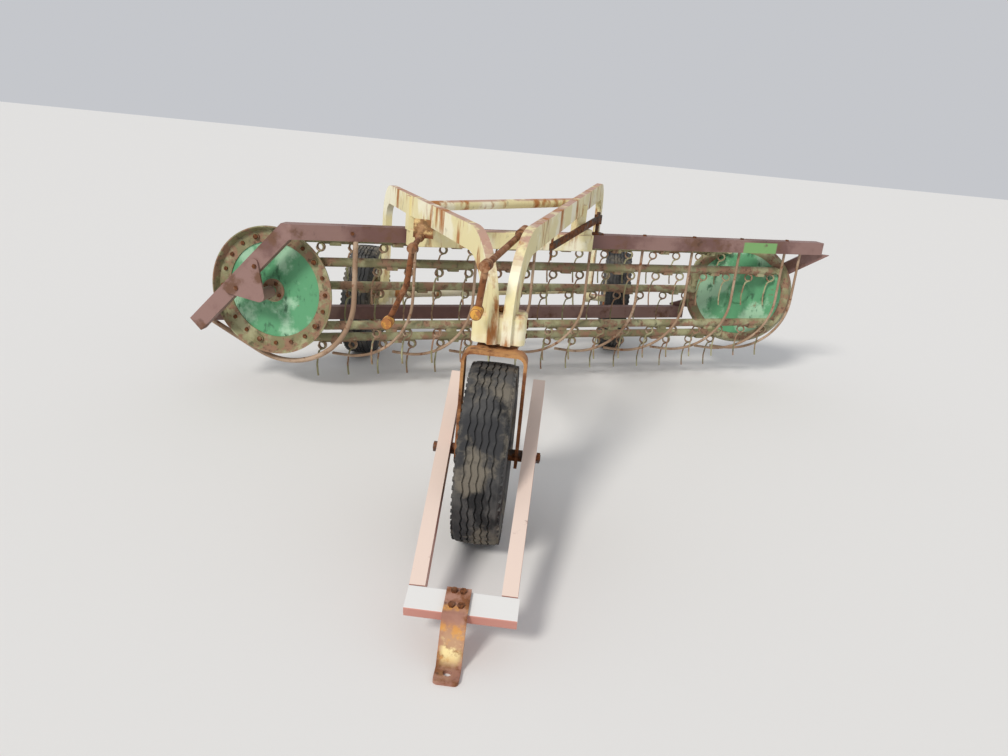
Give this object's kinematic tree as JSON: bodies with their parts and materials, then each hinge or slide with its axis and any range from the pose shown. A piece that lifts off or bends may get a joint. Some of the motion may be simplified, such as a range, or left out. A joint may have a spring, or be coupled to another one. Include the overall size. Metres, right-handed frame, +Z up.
{
  "type": "side delivery rake",
  "caption": "Towed parallel-bar side delivery rake: steered front wheel with tongue, arched frame tubes, oblique basket with a tined reel between discs, trailing rear wheels",
  "frame": {"origin": "centre of the hitch pin hole at the underside of the hitch strap, on the ground", "axes": "+Z up, -Y is the travel direction, +X to the viewer's right when the machine is seen from the front"},
  "size_m": [3.6335, 4.1846, 1.1785],
  "materials": {
    "cream_paint": "faded cream yellow paint with rust",
    "dark_steel": "dark weathered steel",
    "rusty_steel": "bare rusty steel",
    "faded_red_paint": "sun faded red paint",
    "grey_red_paint": "worn grey over red paint",
    "tyre": "dusty black rubber",
    "rim_paint": "faded cream paint",
    "maroon_paint": "dull maroon brown paint",
    "rod_steel": "weathered steel rod",
    "green_paint": "faded green paint",
    "olive_paint": "olive paint with rust"
  },
  "bodies": {
    "main_frame": {"arch_left": "cream_paint", "arch_right": "cream_paint", "kingpin_housing": "cream_paint", "frame_crossbeam": "cream_paint", "frame_brace": "cream_paint", "rear_cross_tube": "cream_paint", "axle_bracket_left": "cream_paint", "axle_bracket_right": "cream_paint", "lift_arm": "dark_steel", "crank_left": "rusty_steel", "crank_right": "rusty_steel"},
    "fork": {"fork_yoke": "rusty_steel", "front_axle": "dark_steel"},
    "front_wheel": {"tyre_front": "tyre", "rim_front": "rim_paint"},
    "tongue": {"tongue_arm_left": "faded_red_paint", "tongue_arm_right": "faded_red_paint", "tongue_crossbar": "grey_red_paint", "hitch_strap": "rusty_steel"},
    "left_wheel": {"tyre_left": "tyre", "rim_left": "rim_paint"},
    "right_wheel": {"tyre_right": "tyre", "rim_right": "rim_paint"},
    "basket": {"top_beam": "maroon_paint", "hub_bracket": "maroon_paint", "lower_beam": "maroon_paint", "basket_arm_rear": "maroon_paint", "stripper_rods": "rod_steel", "end_hoop": "rod_steel", "hanger_left": "dark_steel", "hanger_right": "dark_steel"},
    "front_disc": {"reel_plate_front": "green_paint", "reel_ring_front": "olive_paint"},
    "rear_disc": {"reel_plate_rear": "green_paint", "reel_ring_rear": "olive_paint"},
    "bar_1": {"tine_bar_1": "olive_paint"},
    "bar_2": {"tine_bar_2": "olive_paint"},
    "bar_3": {"tine_bar_3": "olive_paint"},
    "bar_4": {"tine_bar_4": "olive_paint"},
    "bar_5": {"tine_bar_5": "olive_paint"}
  },
  "joints": [
    {"name": "steering", "type": "hinge", "parent": "main_frame", "child": "fork", "pos_m": [0, 0.95, 0.8], "axis": [0, 0, 1], "range_deg": [-60, 60]},
    {"name": "front_wheel_spin", "type": "hinge", "parent": "fork", "child": "front_wheel", "pos_m": [0, 0.855, 0.345], "axis": [1, 0, 0], "continuous": true},
    {"name": "tongue_lift", "type": "hinge", "parent": "fork", "child": "tongue", "pos_m": [0, 0.855, 0.345], "axis": [-1, 0, 0], "range_deg": [0, 35]},
    {"name": "left_wheel_spin", "type": "hinge", "parent": "main_frame", "child": "left_wheel", "pos_m": [-1.00305, 3.02008, 0.345], "axis": [1, 0, 0], "continuous": true},
    {"name": "right_wheel_spin", "type": "hinge", "parent": "main_frame", "child": "right_wheel", "pos_m": [0.62466, 3.79968, 0.345], "axis": [1, 0, 0], "continuous": true},
    {"name": "basket_lift", "type": "slide", "parent": "main_frame", "child": "basket", "axis": [0, 0, 1], "range_m": [-0.012, 0.045]},
    {"name": "reel_front_spin", "type": "hinge", "parent": "basket", "child": "front_disc", "pos_m": [-1.28605, 2.14208, 0.564], "axis": [0.1392, 0.9903, 0], "continuous": true},
    {"name": "reel_rear_spin", "type": "hinge", "parent": "basket", "child": "rear_disc", "pos_m": [1.39663, 3.39303, 0.564], "axis": [0.1392, 0.9903, 0], "continuous": true},
    {"name": "tine_bar_1_swivel", "type": "hinge", "parent": "front_disc", "child": "bar_1", "pos_m": [-1.05975, 2.11027, 0.74254], "axis": [0.1392, 0.9903, 0], "continuous": true},
    {"name": "tine_bar_2_swivel", "type": "hinge", "parent": "front_disc", "child": "bar_2", "pos_m": [-1.38427, 2.15588, 0.83651], "axis": [0.1392, 0.9903, 0], "continuous": true},
    {"name": "tine_bar_3_swivel", "type": "hinge", "parent": "front_disc", "child": "bar_3", "pos_m": [-1.57305, 2.18241, 0.55388], "axis": [0.1392, 0.9903, 0], "continuous": true},
    {"name": "tine_bar_4_swivel", "type": "hinge", "parent": "front_disc", "child": "bar_4", "pos_m": [-1.3652, 2.1532, 0.28523], "axis": [0.1392, 0.9903, 0], "continuous": true},
    {"name": "tine_bar_5_swivel", "type": "hinge", "parent": "front_disc", "child": "bar_5", "pos_m": [-1.04797, 2.10862, 0.40183], "axis": [0.1392, 0.9903, 0], "continuous": true}
  ],
  "couplings": [
    {"joint": "reel_rear_spin", "follows": "reel_front_spin", "ratio": 1},
    {"joint": "tine_bar_1_swivel", "follows": "reel_front_spin", "ratio": -1},
    {"joint": "tine_bar_2_swivel", "follows": "reel_front_spin", "ratio": -1},
    {"joint": "tine_bar_3_swivel", "follows": "reel_front_spin", "ratio": -1},
    {"joint": "tine_bar_4_swivel", "follows": "reel_front_spin", "ratio": -1},
    {"joint": "tine_bar_5_swivel", "follows": "reel_front_spin", "ratio": -1}
  ]
}
